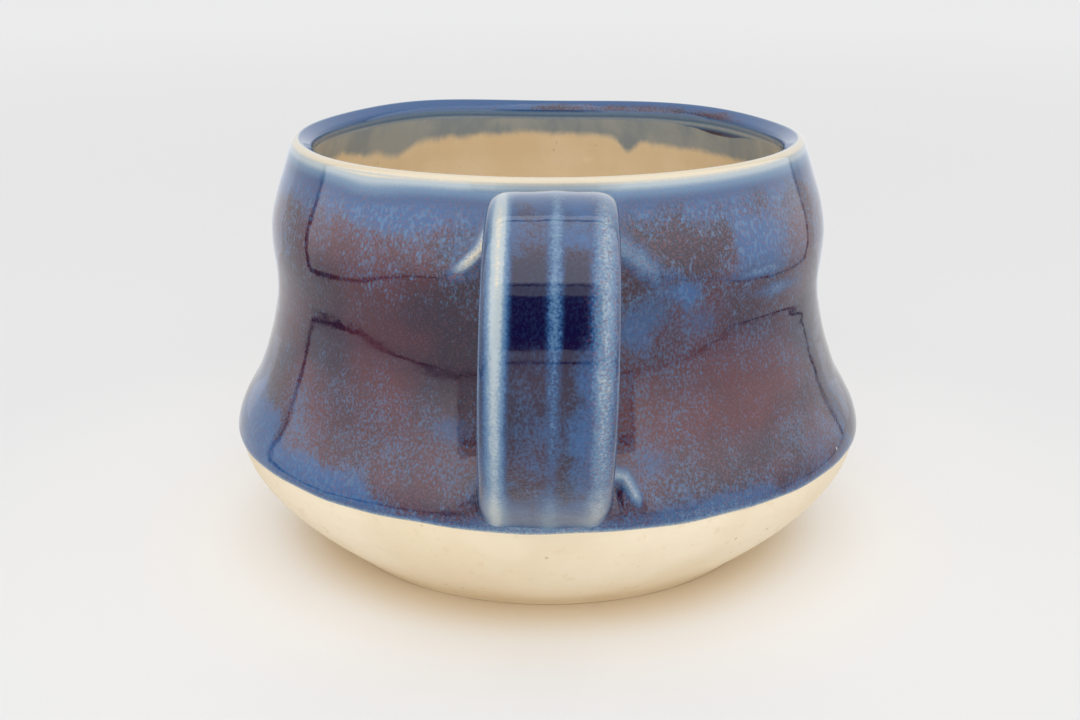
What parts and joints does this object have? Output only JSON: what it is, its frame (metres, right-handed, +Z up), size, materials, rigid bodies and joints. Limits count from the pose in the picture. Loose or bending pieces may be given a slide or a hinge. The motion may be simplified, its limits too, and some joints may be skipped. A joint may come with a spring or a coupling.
{
  "type": "mug",
  "caption": "Wide hand-thrown stoneware mug with a low bare bowl, waisted blue-glazed wall, narrower mouth and a pulled strap handle.",
  "frame": {"origin": "on the vessel's axis, at the plane of the foot ring that the mug stands on", "axes": "+Z up along the vessel's axis, -Y towards the handle, +X to the right of someone who faces the handle"},
  "size_m": [0.1242, 0.1477, 0.0805],
  "materials": {
    "bare_clay": "bare cream stoneware, fine and matt, with faint trimming lines",
    "blue_glaze": "glossy rutile blue over maroon brown, speckled, pale where it thins on edges",
    "rim_glaze": "glossy blue that breaks to cream on the lip and runs down inside",
    "liner_glaze": "satin tan liner, smooth"
  },
  "bodies": {
    "root": {"thrown_body": "bare_clay", "pulled_handle": "bare_clay", "upper_joint_coil": "bare_clay", "lower_joint_coil": "bare_clay", "outer_glaze": "blue_glaze", "rim_glaze": "rim_glaze", "liner_glaze": "liner_glaze", "handle_glaze": "blue_glaze"}
  },
  "joints": []
}
